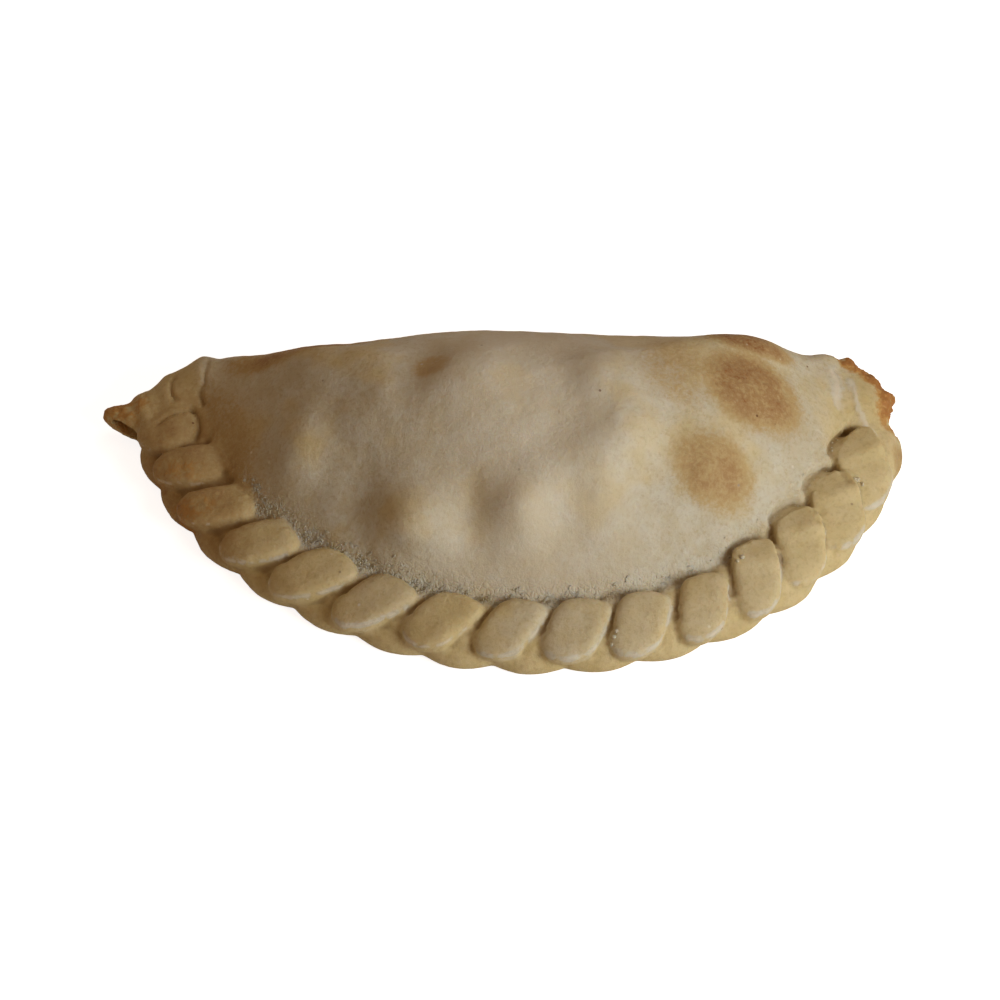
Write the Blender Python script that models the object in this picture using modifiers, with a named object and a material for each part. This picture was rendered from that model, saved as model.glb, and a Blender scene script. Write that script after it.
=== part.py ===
"""A baked empanada: a half-moon dough pocket, closed along its round side with a rope crimp.

The dough is one solid. It is laid out in millimetres about the centre of the disc it was cut
from, with the fold along X, the round side towards -Y and the tray at z = 0. At the end it is
moved so that the middle of its footprint is the world origin, and scaled to metres.
"""

import bisect
import math
import random

import bmesh
import bpy
from mathutils import Euler, Matrix, Vector

MILLIMETRE = 0.001

# Rim: the sealed edge of the half-moon, under the crimp. Angles are about the disc's centre.
RIM_CENTRE = Vector((-0.7, 1.3, 0.0))  # of the edge's circle, a little off the disc's
RIM_RADIUS = 66.1  # to the outermost line of the edge
RIM_START, RIM_END = 194.0, 346.0
RIM_WANDER = 1.1  # the edge isn't a true circle: it swells slowly three times a turn
RIM_WANDER_PHASE = 307.0
RIM_BEAD_WIDTH = 7.4  # the rounded outer edge of the rim
RIM_BEAD_HEIGHT = 4.8
RIM_SHEET_HEIGHT = 4.9  # the two sealed layers between the bead and the mound
SINK = 0.6  # the underside is made this much too low, and then cut flat at the tray
LOBE_DEPTH = 1.5  # one scallop of the edge for each fold

# Mound: the filled pocket.
MOUND_PEAK = Vector((-7.0, -27.0, 28.0))
MOUND_RADIUS = 57.3  # disc's centre to the valley between the mound and the crimp
MOUND_LEFT, MOUND_RIGHT = -58.5, 56.0
FOLDED_BACK = -2.2  # y of the folded side
CORNER_TIGHTNESS = 16.0
# Height of the mound's widest line, and how its flank falls: 1 is a round shoulder, and above 2
# the foot is hollow.
BACK_FLANK = (9.0, 1.05)
FRONT_FLANK = (3.4, 2.25)
LEFT_FLANK = (8.5, 2.1)
RIGHT_FLANK = (8.6, 1.8)
MOUND_FOOT_SQUARENESS = 0.25

LUMP_STEEPEST = 0.3  # where the surface's normal rises less than this, the lumps fade away
# Filling that shows through the dough: x, y, how far it pushes out, its half-widths along and
# across, and its turn in degrees.
LUMPS = (
    (-17.8, -45.0, 2.9, 7.0, 6.0, 0),
    (-2.0, -45.5, 2.3, 5.6, 5.6, 0),
    (-10.0, -44.0, -0.4, 3.0, 6.0, 0),
    (-27.0, -41.5, -1.4, 4.0, 7.0, 10),
    (14.5, -33.5, 2.2, 9.5, 5.5, 66),
    (12.5, -23.5, 1.6, 5.5, 5.0, 0),
    (-9.0, -22.5, 1.8, 8.0, 6.5, 30),
    (-19.0, -21.0, -1.0, 4.0, 5.5, 0),
    (-37.5, -30.0, 1.8, 4.0, 7.0, -12),
    (36.0, -21.0, 1.2, 9.0, 7.0, -15),
    (30.0, -34.5, 1.1, 7.5, 6.5, 0),
    (37.0, -8.0, 0.3, 6.0, 6.0, 0),
    (46.5, -6.0, -1.0, 6.0, 7.0, 0),
    (-30.0, -8.0, -1.2, 9.0, 6.0, 0),
    (-46.0, -9.0, -2.2, 8.0, 9.0, 0),
    (3.5, -40.5, 1.2, 6.0, 4.0, 45),
)

# Crimp: tongues of the rim folded over one after another, from the left tip to the right end.
FOLD_COUNT = 15
FIRST_FOLD = 196.7  # degrees
FOLD_STEP = 9.92
EARLY_LAG = 3.0  # the folds crowd together where the crimp starts, most at the third
EARLY_LAG_AT = 2.0
FOLD_RADIUS = 60.7
EARLY_REACH = 1.7  # the fourth and fifth folds lie this much further out along their own length
FOLD_LENGTH, FOLD_WIDTH, FOLD_THICKNESS = 13.0, 7.6, 5.4
LONGEST_FOLD = 4.5  # the folds grow longer and shorter along the crimp
FOLDS_PER_SWELL = 9.4
LENGTH_SWELL = 0.13
FOLD_LEAN = -41.0  # degrees from straight outwards, once the crimp is under way
EARLY_LEAN = 30.0  # how much less the first fold leans, fading over the next few
EARLY_LEAN_FADE = 2.2
FOLD_DIP = 11.0  # degrees that a fold slopes down towards the edge
FOLD_ROLL = 4.0  # degrees that it slopes down towards the next one
FOLD_MIDDLE_HEIGHT = 5.4
FOLD_TAPER = 0.42  # how far the side towards the next fold curves in at the outer end
FOLD_ROUNDNESS = 0.4  # 1 is an ellipsoid, and towards 0 the fold becomes a box
OUTER_END_ROUNDER = 0.5
INNER_END_SKEW = 0.8  # 1 lays the blunt inner end along the rim
OUTER_END_SKEW = 0.3  # how far the round outer end falls back on the side of the next fold
FOLD_DROOP = 0.012  # per mm: how the outer end bends down over the bead
WEB_RADIUS = 57.6  # the dough between two folds' inner ends
WEB_SIZE = (6.6, 5.6, 5.2)
WEB_MIDDLE_HEIGHT = 4.1
UNEVENNESS = 0.05  # how much each fold's length and width differ, as a share
SEED = 11

# Left end, where the crimp begins: two flat flaps and a rolled tip with an open mouth.
# A lump is its centre, its size along its own axes, and its turn in degrees.
LEFT_FLAPS = (
    ((-58.6, -10.2, 4.0), (7.4, 14.6, 11.6), (0, -14, 14)),
    ((-63.2, -11.8, 3.3), (6.8, 10.8, 9.2), (0, -13, 16)),
)
TIP_LINE = (
    (Vector((-62.5, -13.6, 3.6)), 3.5),
    (Vector((-66.2, -12.4, 3.7)), 2.9),
    (Vector((-69.0, -11.3, 3.6)), 2.2),
    (Vector((-71.3, -10.3, 3.4)), 1.2),
)
MOUTH = ((-69.2, -13.4, 2.9), (6.4, 4.8, 1.9), (0, 6, -32))

# Right end, where it closes: the corner of the pocket and the flat lobe beyond it, with a ragged
# torn ridge along their outer edge.
RIGHT_LUMPS = (
    ((54.8, -10.4, 4.3), (10.0, 14.0, 10.6), (0, 9, -8)),
    ((57.2, -18.0, 2.9), (9.0, 15.0, 7.4), (0, 10, 2)),
)
RIDGE = (Vector((54.0, -4.6, 8.2)), Vector((60.0, -8.4, 5.8)), Vector((59.0, -13.0, 4.4)))
RIDGE_CRUMBS = 11
RIDGE_CRUMB_SIZE = 3.1
CRUMB_SPREAD = (0.8, 1.3)  # the smallest and the largest, as shares of that size
CRUMB_SCATTER = 0.6

# How finely each piece is drawn: (round, from pole to pole) for the closed ones.
MOUND_FACETS = (160, 80)
FOLD_FACETS = (32, 16)
BLOB_FACETS = (24, 12)
RIM_FACETS = 240  # along the edge
EDGE_FACETS = 6  # round a quarter of a bead
WELD_WITHIN = 0.0001
VOXEL = 0.7
SMOOTHING_PASSES = 1
TRIANGLES = 11000
FLAT_WITHIN = 0.05  # points this near the tray lie on it
SHARP_ANGLE = 50.0
TRAY_CUT = (300.0, 300.0, 20.0)  # the box that cuts the underside flat
DOUGH_COLOUR = (0.48, 0.36, 0.22, 1.0)
DOUGH_ROUGHNESS = 0.62


def power(value, exponent):
    """value raised to exponent, with its sign kept."""
    return math.copysign(abs(value) ** exponent, value)


def on_disc(angle, radius, height=0.0):
    """The point at that angle and radius about the disc's centre."""
    turn = math.radians(angle)
    return Vector((radius * math.cos(turn), radius * math.sin(turn), height))


def interpolate(value, start, end):
    """0 at start and 1 at end, smooth between them and flat outside."""
    share = min(max((value - start) / (end - start), 0.0), 1.0)
    return share * share * (3.0 - 2.0 * share)


def turned(degrees):
    return Euler([math.radians(angle) for angle in degrees]).to_matrix().to_4x4()


def object_from(form, name, collection):
    """A new object in that collection, with the finished shape of form."""
    bmesh.ops.recalc_face_normals(form, faces=form.faces)
    mesh = bpy.data.meshes.new(name)
    form.to_mesh(mesh)
    form.free()
    made = bpy.data.objects.new(name, mesh)
    collection.objects.link(made)
    return made


def shaped_sphere(name, collection, facets, shape, finish=None):
    """A sphere whose points are moved by shape, which takes a unit direction, and by finish."""
    form = bmesh.new()
    bmesh.ops.create_uvsphere(form, u_segments=facets[0], v_segments=facets[1], radius=1.0)
    for vert in form.verts:
        vert.co = shape(vert.co.copy())
    if finish:
        finish(form)
    return object_from(form, name, collection)


def blob(name, collection, centre, size, turn=(0, 0, 0), squareness=0.85):
    """A rounded lump of dough, of that size along its own axes."""
    placed = Matrix.Translation(centre) @ turned(turn)

    def shape(unit):
        local = [power(unit[i], squareness) * size[i] / 2 for i in range(3)]
        return placed @ Vector(local)

    return shaped_sphere(name, collection, BLOB_FACETS, shape)


# --- The crimp's rhythm -------------------------------------------------------------------------


def fold_angle(number):
    """Degrees about the disc's centre of that fold's middle. Folds count from 1."""
    lag = (number - 1) / EARLY_LAG_AT
    return FIRST_FOLD + FOLD_STEP * (number - 1) - EARLY_LAG * lag * math.exp(1 - lag)


def fold_lean(number):
    return FOLD_LEAN + EARLY_LEAN * math.exp(-(number - 1) / EARLY_LEAN_FADE)


def fold_length(number):
    swell = LENGTH_SWELL * math.cos(2 * math.pi * (number - LONGEST_FOLD) / FOLDS_PER_SWELL)
    return FOLD_LENGTH * (1 + swell)


def fold_reach(number):
    return EARLY_REACH * interpolate(number, 0, 4) * interpolate(number, 8, 5)


def wander(angle):
    """How far the edge lies outside its own circle."""
    return RIM_WANDER * math.cos(3 * math.radians(angle - RIM_WANDER_PHASE))


def lobe(angle):
    """-1 in the notches of the edge and 1 on its scallops, which lie at the folds' outer ends."""
    numbers = range(1, FOLD_COUNT + 4)
    angles = [fold_angle(number) - FOLD_STEP / 2 for number in numbers]
    below = max(bisect.bisect_right(angles, angle) - 1, 0)
    share = (angle - angles[below]) / (angles[below + 1] - angles[below])
    return 2.0 * abs(math.cos(math.pi * share)) - 1.0


# --- Pieces of dough, in millimetres ------------------------------------------------------------


def mesh_of_curve(curve, name, collection, placed):
    """The curve as a closed mesh object with its caps welded. The curve object is removed."""
    bpy.context.scene.collection.objects.link(curve)
    bpy.context.view_layer.update()
    graph = bpy.context.evaluated_depsgraph_get()
    mesh = bpy.data.meshes.new_from_object(curve.evaluated_get(graph))
    form = bmesh.new()
    form.from_mesh(mesh)
    bmesh.ops.remove_doubles(form, verts=form.verts, dist=WELD_WITHIN)
    for vert in form.verts:
        vert.co = placed @ vert.co
    bpy.data.objects.remove(curve)
    return object_from(form, name, collection)


def curve_through(points, name, cyclic=False):
    """A curve object with one POLY spline. A point is (position, radius)."""
    data = bpy.data.curves.new(name, "CURVE")
    spline = data.splines.new("POLY")
    spline.points.add(len(points) - 1)
    for point, (position, radius) in zip(spline.points, points):
        point.co = (*position, 1.0)
        point.radius = radius
    spline.use_cyclic_u = cyclic
    return bpy.data.objects.new(name, data)


def rim_bead(collection):
    """The rounded outer edge, fuller at each scallop."""
    points = []
    for i in range(RIM_FACETS + 1):
        angle = RIM_START + (RIM_END - RIM_START) * i / RIM_FACETS
        swell = LOBE_DEPTH * lobe(angle) / 2
        half = RIM_BEAD_WIDTH / 2
        middle = RIM_RADIUS + wander(angle) - half + swell / 2
        points.append((RIM_CENTRE + on_disc(angle, middle), half + swell / 2))
    curve = curve_through(points, "rim_bead")
    curve.data.dimensions = "3D"
    curve.data.bevel_depth = 1.0
    curve.data.bevel_resolution = EDGE_FACETS
    curve.data.use_fill_caps = True
    flat = RIM_BEAD_HEIGHT / RIM_BEAD_WIDTH
    raised = Matrix.Translation((0, 0, RIM_BEAD_HEIGHT / 2 - SINK))
    placed = raised @ Matrix.Diagonal((1, 1, flat, 1))
    return mesh_of_curve(curve, "rim_bead", collection, placed)


def rim_sheet(collection):
    """The flat sealed dough inside the bead, out to the bead's middle line."""
    points = []
    for i in range(RIM_FACETS + 1):
        angle = RIM_START + (RIM_END - RIM_START) * i / RIM_FACETS
        radius = RIM_RADIUS + wander(angle) - RIM_BEAD_WIDTH / 2
        points.append((RIM_CENTRE + on_disc(angle, radius), 1.0))
    curve = curve_through(points, "rim_sheet", cyclic=True)
    curve.data.dimensions = "2D"
    curve.data.fill_mode = "BOTH"
    curve.data.extrude = RIM_SHEET_HEIGHT / 2
    placed = Matrix.Translation((0, 0, RIM_SHEET_HEIGHT / 2 - SINK))
    return mesh_of_curve(curve, "rim_sheet", collection, placed)


def mound_reach(angle):
    """Distance from under the peak to the mound's foot, in the direction of angle in radians."""
    across, along = math.cos(angle), math.sin(angle)
    toward = MOUND_PEAK.x * across + MOUND_PEAK.y * along
    inside = MOUND_RADIUS**2 - MOUND_PEAK.x**2 - MOUND_PEAK.y**2
    ways = [math.sqrt(toward**2 + inside) - toward]
    if along > 0:
        ways.append((FOLDED_BACK - MOUND_PEAK.y) / along)
    if across < 0:
        ways.append((MOUND_LEFT - MOUND_PEAK.x) / across)
    if across > 0:
        ways.append((MOUND_RIGHT - MOUND_PEAK.x) / across)
    return sum(way**-CORNER_TIGHTNESS for way in ways) ** (-1 / CORNER_TIGHTNESS)


def flank(across, along):
    """The (widest height, fall) of the mound in a direction of a unit square."""
    side = RIGHT_FLANK if across > 0 else LEFT_FLANK
    end = BACK_FLANK if along > 0 else FRONT_FLANK
    share = along * along
    return [side[i] + (end[i] - side[i]) * share for i in range(2)]


def push_out_lumps(form):
    """Moves the upper surface along its normals, round the point over each lump's place."""
    form.normal_update()
    upper = [vert for vert in form.verts if vert.normal.z > 0]
    moves = {vert: 0.0 for vert in upper}
    for x, y, push, long, wide, turn in LUMPS:
        nearest = min(upper, key=lambda vert: math.hypot(vert.co.x - x, vert.co.y - y))
        centre = nearest.co.copy()
        turned_back = turned((0, 0, -turn))
        for vert in upper:
            away = turned_back @ (vert.co - centre)
            distance = (away.x / long) ** 2 + (away.y / wide) ** 2 + (away.z / wide) ** 2
            moves[vert] += push * math.exp(-distance)
    for vert, move in moves.items():
        vert.co += vert.normal * move * interpolate(vert.normal.z, 0.0, LUMP_STEEPEST)


def mound(collection):
    """The filled pocket: a pillow over the half-moon, steep at the fold and hollow at its foot."""
    half_length = (MOUND_RIGHT - MOUND_LEFT) / 2
    half_width = (FOLDED_BACK + MOUND_RADIUS) / 2

    def shape(unit):
        out = math.hypot(unit.x, unit.y)
        if out < 1e-6:
            across, along = 0.0, 1.0
        else:
            across, along = unit.x / out, unit.y / out
        angle = math.atan2(along * half_width, across * half_length)
        reach = mound_reach(angle) * out
        x = MOUND_PEAK.x + reach * math.cos(angle)
        y = MOUND_PEAK.y + reach * math.sin(angle)
        widest, fall = flank(across, along)
        if unit.z > 0:
            top = MOUND_PEAK.z - widest
            z = widest + top * unit.z**fall
        else:
            z = widest - (widest + SINK) * abs(unit.z) ** MOUND_FOOT_SQUARENESS
        return Vector((x, y, z))

    return shaped_sphere("mound", collection, MOUND_FACETS, shape, push_out_lumps)


def fold(number, collection, draw):
    """One tongue of the crimp. Its own x runs outwards, and its y towards the next fold."""
    angle = fold_angle(number)
    lean = fold_lean(number)
    length = fold_length(number) * (1 + draw.uniform(-UNEVENNESS, UNEVENNESS))
    width = FOLD_WIDTH * (1 + draw.uniform(-UNEVENNESS, UNEVENNESS))
    middle = on_disc(angle, FOLD_RADIUS + wander(angle), FOLD_MIDDLE_HEIGHT)
    middle += on_disc(angle + lean, fold_reach(number))
    placed = Matrix.Translation(middle) @ turned((-FOLD_ROLL, FOLD_DIP, angle + lean))
    skew = math.tan(math.radians(lean)) * INNER_END_SKEW

    def shape(unit):
        outer = interpolate(unit.x, 0.0, 0.8)
        x = power(unit.x, FOLD_ROUNDNESS + outer * OUTER_END_ROUNDER / 2) * length / 2
        y = power(unit.y, FOLD_ROUNDNESS + outer * OUTER_END_ROUNDER) * width / 2
        if y > 0:
            y *= 1.0 - FOLD_TAPER * interpolate(x, -length / 6, length / 2)
        z = power(unit.z, FOLD_ROUNDNESS) * FOLD_THICKNESS / 2
        x += y * skew * interpolate(-x, -length / 4, length / 4)
        x -= y * OUTER_END_SKEW * interpolate(x, 0.0, length / 2)
        z -= FOLD_DROOP * max(x, 0.0) ** 2
        return placed @ Vector((x, y, z))

    return shaped_sphere(f"fold_{number:02d}", collection, FOLD_FACETS, shape)


def web(number, collection):
    """The dough drawn up between that fold and the next one, at their inner ends."""
    angle = (fold_angle(number) + fold_angle(number + 1)) / 2
    centre = on_disc(angle, WEB_RADIUS + wander(angle), WEB_MIDDLE_HEIGHT)
    blob(f"web_{number:02d}", collection, centre, WEB_SIZE, (0, FOLD_DIP, angle + fold_lean(number)))


def tip(collection):
    """The rolled end of the dough, tapering to its tip."""
    curve = curve_through(TIP_LINE, "tip")
    curve.data.dimensions = "3D"
    curve.data.bevel_depth = 1.0
    curve.data.bevel_resolution = EDGE_FACETS
    curve.data.use_fill_caps = True
    return mesh_of_curve(curve, "tip", collection, Matrix())


def ragged_ridge(collection, draw):
    """Torn and browned dough: a row of crumbs along the outer edge of the right end."""
    start, corner, end = RIDGE
    for i in range(RIDGE_CRUMBS):
        share = 2 * i / (RIDGE_CRUMBS - 1)
        middle = start.lerp(corner, share) if share < 1 else corner.lerp(end, share - 1)
        scatter = [draw.uniform(-CRUMB_SCATTER, CRUMB_SCATTER) for _ in range(3)]
        size = [RIDGE_CRUMB_SIZE * draw.uniform(*CRUMB_SPREAD) for _ in range(3)]
        turn = [draw.uniform(0, 180) for _ in range(3)]
        blob(f"crumb_{i:02d}", collection, middle + Vector(scatter), size, turn)


# --- The whole ----------------------------------------------------------------------------------


def clear_scene():
    for old in list(bpy.data.objects):
        bpy.data.objects.remove(old)


def new_collection(name):
    made = bpy.data.collections.new(name)
    bpy.context.scene.collection.children.link(made)
    return made


def tray_box(collection):
    """A box whose top is the tray, which cuts the underside flat."""
    form = bmesh.new()
    bmesh.ops.create_cube(form, size=1.0)
    bmesh.ops.scale(form, vec=TRAY_CUT, verts=form.verts)
    bmesh.ops.translate(form, vec=(0, 0, -TRAY_CUT[2] / 2), verts=form.verts)
    return object_from(form, "tray_box", collection)


def modifiers_applied(made):
    """Bakes the object's modifiers into its mesh and removes them."""
    bpy.context.view_layer.update()
    graph = bpy.context.evaluated_depsgraph_get()
    mesh = bpy.data.meshes.new_from_object(made.evaluated_get(graph))
    made.modifiers.clear()
    made.data = mesh


def cut_away(made, cutter):
    cutter.hide_render = True
    cutter.display_type = "WIRE"
    cut = made.modifiers.new(cutter.name, "BOOLEAN")
    cut.operation = "DIFFERENCE"
    cut.object = cutter
    cut.solver = "EXACT"


def emptied(collection):
    """Removes the collection and its objects."""
    for piece in list(collection.objects):
        bpy.data.objects.remove(piece)
    bpy.data.collections.remove(collection)


def fuse(made, pieces):
    """Joins the collection's objects to made by one union, and removes them."""
    union = made.modifiers.new("union", "BOOLEAN")
    union.operation = "UNION"
    union.operand_type = "COLLECTION"
    union.collection = pieces
    union.solver = "EXACT"
    modifiers_applied(made)
    emptied(pieces)


def soften(made):
    """Rounds the creases where the pieces meet, as baking does."""
    remesh = made.modifiers.new("remesh", "REMESH")
    remesh.mode = "VOXEL"
    remesh.voxel_size = VOXEL
    smooth = made.modifiers.new("smooth", "SMOOTH")
    smooth.iterations = SMOOTHING_PASSES
    smooth.factor = 0.5


def thin_out(made):
    """Brings the mesh down to TRIANGLES, most of them where it curves most."""
    corners = sum(len(face.vertices) - 2 for face in made.data.polygons)
    decimate = made.modifiers.new("decimate", "DECIMATE")
    decimate.ratio = TRIANGLES / corners
    decimate.use_collapse_triangulate = True
    modifiers_applied(made)


def stand_on_origin(mesh):
    """Flattens the underside exactly, centres the footprint on the origin, and turns to metres."""
    for vert in mesh.vertices:
        if abs(vert.co.z) < FLAT_WITHIN:
            vert.co.z = 0.0
    sides = [[vert.co[i] for vert in mesh.vertices] for i in (0, 1)]
    x, y = [(min(side) + max(side)) / 2 for side in sides]
    mesh.transform(Matrix.Scale(MILLIMETRE, 4) @ Matrix.Translation((-x, -y, 0)))


def baked_dough():
    material = bpy.data.materials.new("baked_dough")
    material.use_nodes = True
    shader = material.node_tree.nodes["Principled BSDF"]
    shader.inputs["Base Color"].default_value = DOUGH_COLOUR
    shader.inputs["Roughness"].default_value = DOUGH_ROUGHNESS
    shader.inputs["Metallic"].default_value = 0.0
    return material


def empanada():
    draw = random.Random(SEED)
    pieces = new_collection("pieces")
    cutters = new_collection("cutters")
    whole = new_collection("empanada")

    made = mound(whole)
    made.name = made.data.name = "empanada"
    rim_bead(pieces)
    rim_sheet(pieces)
    for number in range(1, FOLD_COUNT + 1):
        fold(number, pieces, draw)
        web(number, pieces)
    for number, flap in enumerate(LEFT_FLAPS):
        blob(f"left_flap_{number}", pieces, *flap)
    for number, lump in enumerate(RIGHT_LUMPS):
        blob(f"right_lump_{number}", pieces, *lump)
    tip(pieces)
    ragged_ridge(pieces, draw)

    fuse(made, pieces)
    cut_away(made, blob("mouth", cutters, *MOUTH))
    soften(made)
    cut_away(made, tray_box(cutters))
    modifiers_applied(made)
    emptied(cutters)
    thin_out(made)
    stand_on_origin(made.data)
    made.data.materials.append(baked_dough())
    made.data.shade_smooth()
    made.data.set_sharp_from_angle(angle=math.radians(SHARP_ANGLE))
    return made


clear_scene()
empanada()
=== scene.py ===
"""A baked empanada on a pale table, lit softly from the right, over its CAD solid.

The crust is shaped again from the solid's own sizes, in millimetres about the centre of the disc
that the dough was cut from, and drawn finely enough to carry its skin: the floury cracked seam
beside the crimp, the pits between the folds, pores and slow waves. It is then moved onto the solid.
"""

import bisect
import math
import random

import bmesh
import bpy
import numpy as np
from mathutils import Euler, Matrix, Vector, noise
from mathutils.bvhtree import BVHTree


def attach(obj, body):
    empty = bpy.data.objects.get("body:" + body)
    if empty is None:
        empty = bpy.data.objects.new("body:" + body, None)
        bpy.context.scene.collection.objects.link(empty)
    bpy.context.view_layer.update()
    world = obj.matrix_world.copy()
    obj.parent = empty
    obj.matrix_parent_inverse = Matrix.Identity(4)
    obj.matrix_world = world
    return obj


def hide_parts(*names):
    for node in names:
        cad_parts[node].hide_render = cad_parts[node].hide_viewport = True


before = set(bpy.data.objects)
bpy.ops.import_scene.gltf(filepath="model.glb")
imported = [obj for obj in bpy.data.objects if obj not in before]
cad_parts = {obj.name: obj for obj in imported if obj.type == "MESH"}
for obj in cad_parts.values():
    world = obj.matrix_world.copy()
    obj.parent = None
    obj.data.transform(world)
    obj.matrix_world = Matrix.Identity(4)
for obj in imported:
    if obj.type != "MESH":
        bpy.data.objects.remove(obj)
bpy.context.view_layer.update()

MILLIMETRE = 0.001

# --- The solid's own sizes ---

RIM_CENTRE = Vector((-0.7, 1.3, 0.0))
RIM_RADIUS = 66.1
RIM_START, RIM_END = 194.0, 346.0
RIM_WANDER = 1.1
RIM_WANDER_PHASE = 307.0
RIM_BEAD_WIDTH = 7.4
RIM_BEAD_HEIGHT = 4.8
RIM_SHEET_HEIGHT = 4.9
SINK = 0.6
LOBE_DEPTH = 1.5

MOUND_PEAK = Vector((-7.0, -27.0, 28.0))
MOUND_RADIUS = 57.3
MOUND_LEFT, MOUND_RIGHT = -58.5, 56.0
FOLDED_BACK = -2.2
CORNER_TIGHTNESS = 16.0
BACK_FLANK = (9.0, 1.05)
FRONT_FLANK = (3.4, 2.25)
LEFT_FLANK = (8.5, 2.1)
RIGHT_FLANK = (8.6, 1.8)
MOUND_FOOT_SQUARENESS = 0.25

LUMP_STEEPEST = 0.3
# Filling that shows through the dough: x, y, how far it pushes out, its half-widths along and
# across, and its turn in degrees.
LUMPS = (
    (-17.8, -45.0, 2.9, 7.0, 6.0, 0),
    (-2.0, -45.5, 2.3, 5.6, 5.6, 0),
    (-10.0, -44.0, -0.4, 3.0, 6.0, 0),
    (-27.0, -41.5, -1.4, 4.0, 7.0, 10),
    (14.5, -33.5, 2.2, 9.5, 5.5, 66),
    (12.5, -23.5, 1.6, 5.5, 5.0, 0),
    (-9.0, -22.5, 1.8, 8.0, 6.5, 30),
    (-19.0, -21.0, -1.0, 4.0, 5.5, 0),
    (-37.5, -30.0, 1.8, 4.0, 7.0, -12),
    (36.0, -21.0, 1.2, 9.0, 7.0, -15),
    (30.0, -34.5, 1.1, 7.5, 6.5, 0),
    (37.0, -8.0, 0.3, 6.0, 6.0, 0),
    (46.5, -6.0, -1.0, 6.0, 7.0, 0),
    (-30.0, -8.0, -1.2, 9.0, 6.0, 0),
    (-46.0, -9.0, -2.2, 8.0, 9.0, 0),
    (3.5, -40.5, 1.2, 6.0, 4.0, 45),
)

FOLD_COUNT = 15
FIRST_FOLD = 196.7
FOLD_STEP = 9.92
EARLY_LAG = 3.0
EARLY_LAG_AT = 2.0
FOLD_RADIUS = 60.7
EARLY_REACH = 1.7
FOLD_LENGTH, FOLD_WIDTH, FOLD_THICKNESS = 13.0, 7.6, 5.4
LONGEST_FOLD = 4.5
FOLDS_PER_SWELL = 9.4
LENGTH_SWELL = 0.13
FOLD_LEAN = -41.0
EARLY_LEAN = 30.0
EARLY_LEAN_FADE = 2.2
FOLD_DIP = 11.0
FOLD_ROLL = 5.0
FOLD_MIDDLE_HEIGHT = 5.4
FOLD_TAPER = 0.42
TAPER_LOSS = 0.7  # the share of that taper that the folds from the eighth on don't have
FOLD_ROUNDNESS = 0.4
OUTER_END_ROUNDER = 0.5
INNER_END_SKEW = 0.8
OUTER_END_SKEW = 0.3
FOLD_DROOP = 0.012
INNER_CORNER = 1.5  # how far the sharper corner of a fold's inner end is rounded off
OUTER_THINNER = 0.3  # the share of its thickness that a fold loses towards its outer end
FOLD_CROWN = 0.6  # 1 gives a fold an elliptical top, and 0 a flat one
# What the thumb did to each fold in turn, against the even rhythm: degrees along the edge,
# millimetres outwards, share of the length and of the width, and degrees of lean.
PRESSES = (
    (0.0, 0.9, 0.84, 1.0, 0.0),
    (0.2, -0.8, 0.93, 1.05, 0.0),
    (0.3, -0.7, 0.94, 1.05, 0.0),
    (0.3, -1.1, 0.89, 1.08, 0.0),
    (0.4, -1.0, 0.89, 1.08, 0.0),
    (1.0, -0.5, 0.95, 1.08, 1.0),
    (1.3, -0.3, 0.97, 1.08, 3.0),
    (1.3, -0.3, 0.97, 1.1, 6.0),
    (1.2, -0.3, 0.98, 1.1, 9.5),
    (1.0, 0.0, 1.0, 1.1, 11.0),
    (0.9, 0.0, 1.0, 1.12, 12.0),
    (0.5, -0.6, 0.96, 1.12, 11.0),
    (-0.2, -0.7, 0.92, 1.16, 8.0),
    (-0.5, -0.3, 0.92, 1.2, 5.0),
    (-0.7, -0.1, 0.92, 1.2, 2.0),
)
WEB_RADIUS = 59.2
WEB_SIZE = (11.0, 6.0, 5.6)
WEB_MIDDLE_HEIGHT = 4.2
WEB_DIP = 19.0
UNEVENNESS = 0.05
SEED = 11

LEFT_FLAPS = (
    ((-58.6, -10.2, 4.0), (7.4, 14.6, 11.6), (0, -14, 14)),
    ((-63.2, -11.8, 3.3), (6.8, 10.8, 9.2), (0, -13, 16)),
)
TIP_LINE = (
    (Vector((-62.5, -13.6, 3.6)), 3.5),
    (Vector((-66.2, -12.4, 3.7)), 2.9),
    (Vector((-69.0, -11.3, 3.6)), 2.2),
    (Vector((-71.3, -10.3, 3.4)), 1.2),
)
FLAP_FOOT = ((-54.2, -16.0, 3.4), (8.0, 13.0, 9.4), (0, 0, 10))
# The pleats' back edge, which runs up from the tip to the pocket.
FLAP_LINE = (
    (Vector((-66.5, -11.2, 3.5)), 2.6),
    (Vector((-63.5, -9.9, 4.0)), 3.2),
    (Vector((-60.5, -8.6, 4.4)), 3.8),
    (Vector((-57.5, -7.4, 5.1)), 4.4),
    (Vector((-54.3, -6.6, 7.0)), 5.0),
    (Vector((-51.8, -6.6, 6.3)), 4.4),
)
MOUTH = ((-67.4, -14.4, 4.0), (6.0, 4.2, 2.0), (0, 6, -32))

RIGHT_LUMPS = (
    ((54.8, -10.4, 4.3), (10.0, 14.0, 10.6), (0, 9, -8)),
    ((57.2, -18.0, 2.9), (9.0, 15.0, 7.4), (0, 10, 2)),
)
RIDGE = (Vector((54.0, -4.6, 8.2)), Vector((60.0, -8.4, 5.8)), Vector((59.0, -13.0, 4.4)))
RIDGE_CRUMBS = 11
RIDGE_CRUMB_SIZE = 3.1
CRUMB_SPREAD = (0.8, 1.3)
CRUMB_SCATTER = 0.6

# The disc's centre in the part's own frame, whose origin is under the middle of the part's box.
DISC_CENTRE = Vector((4.54, 33.46, 0.0))

# --- The skin's sizes ---

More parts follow.
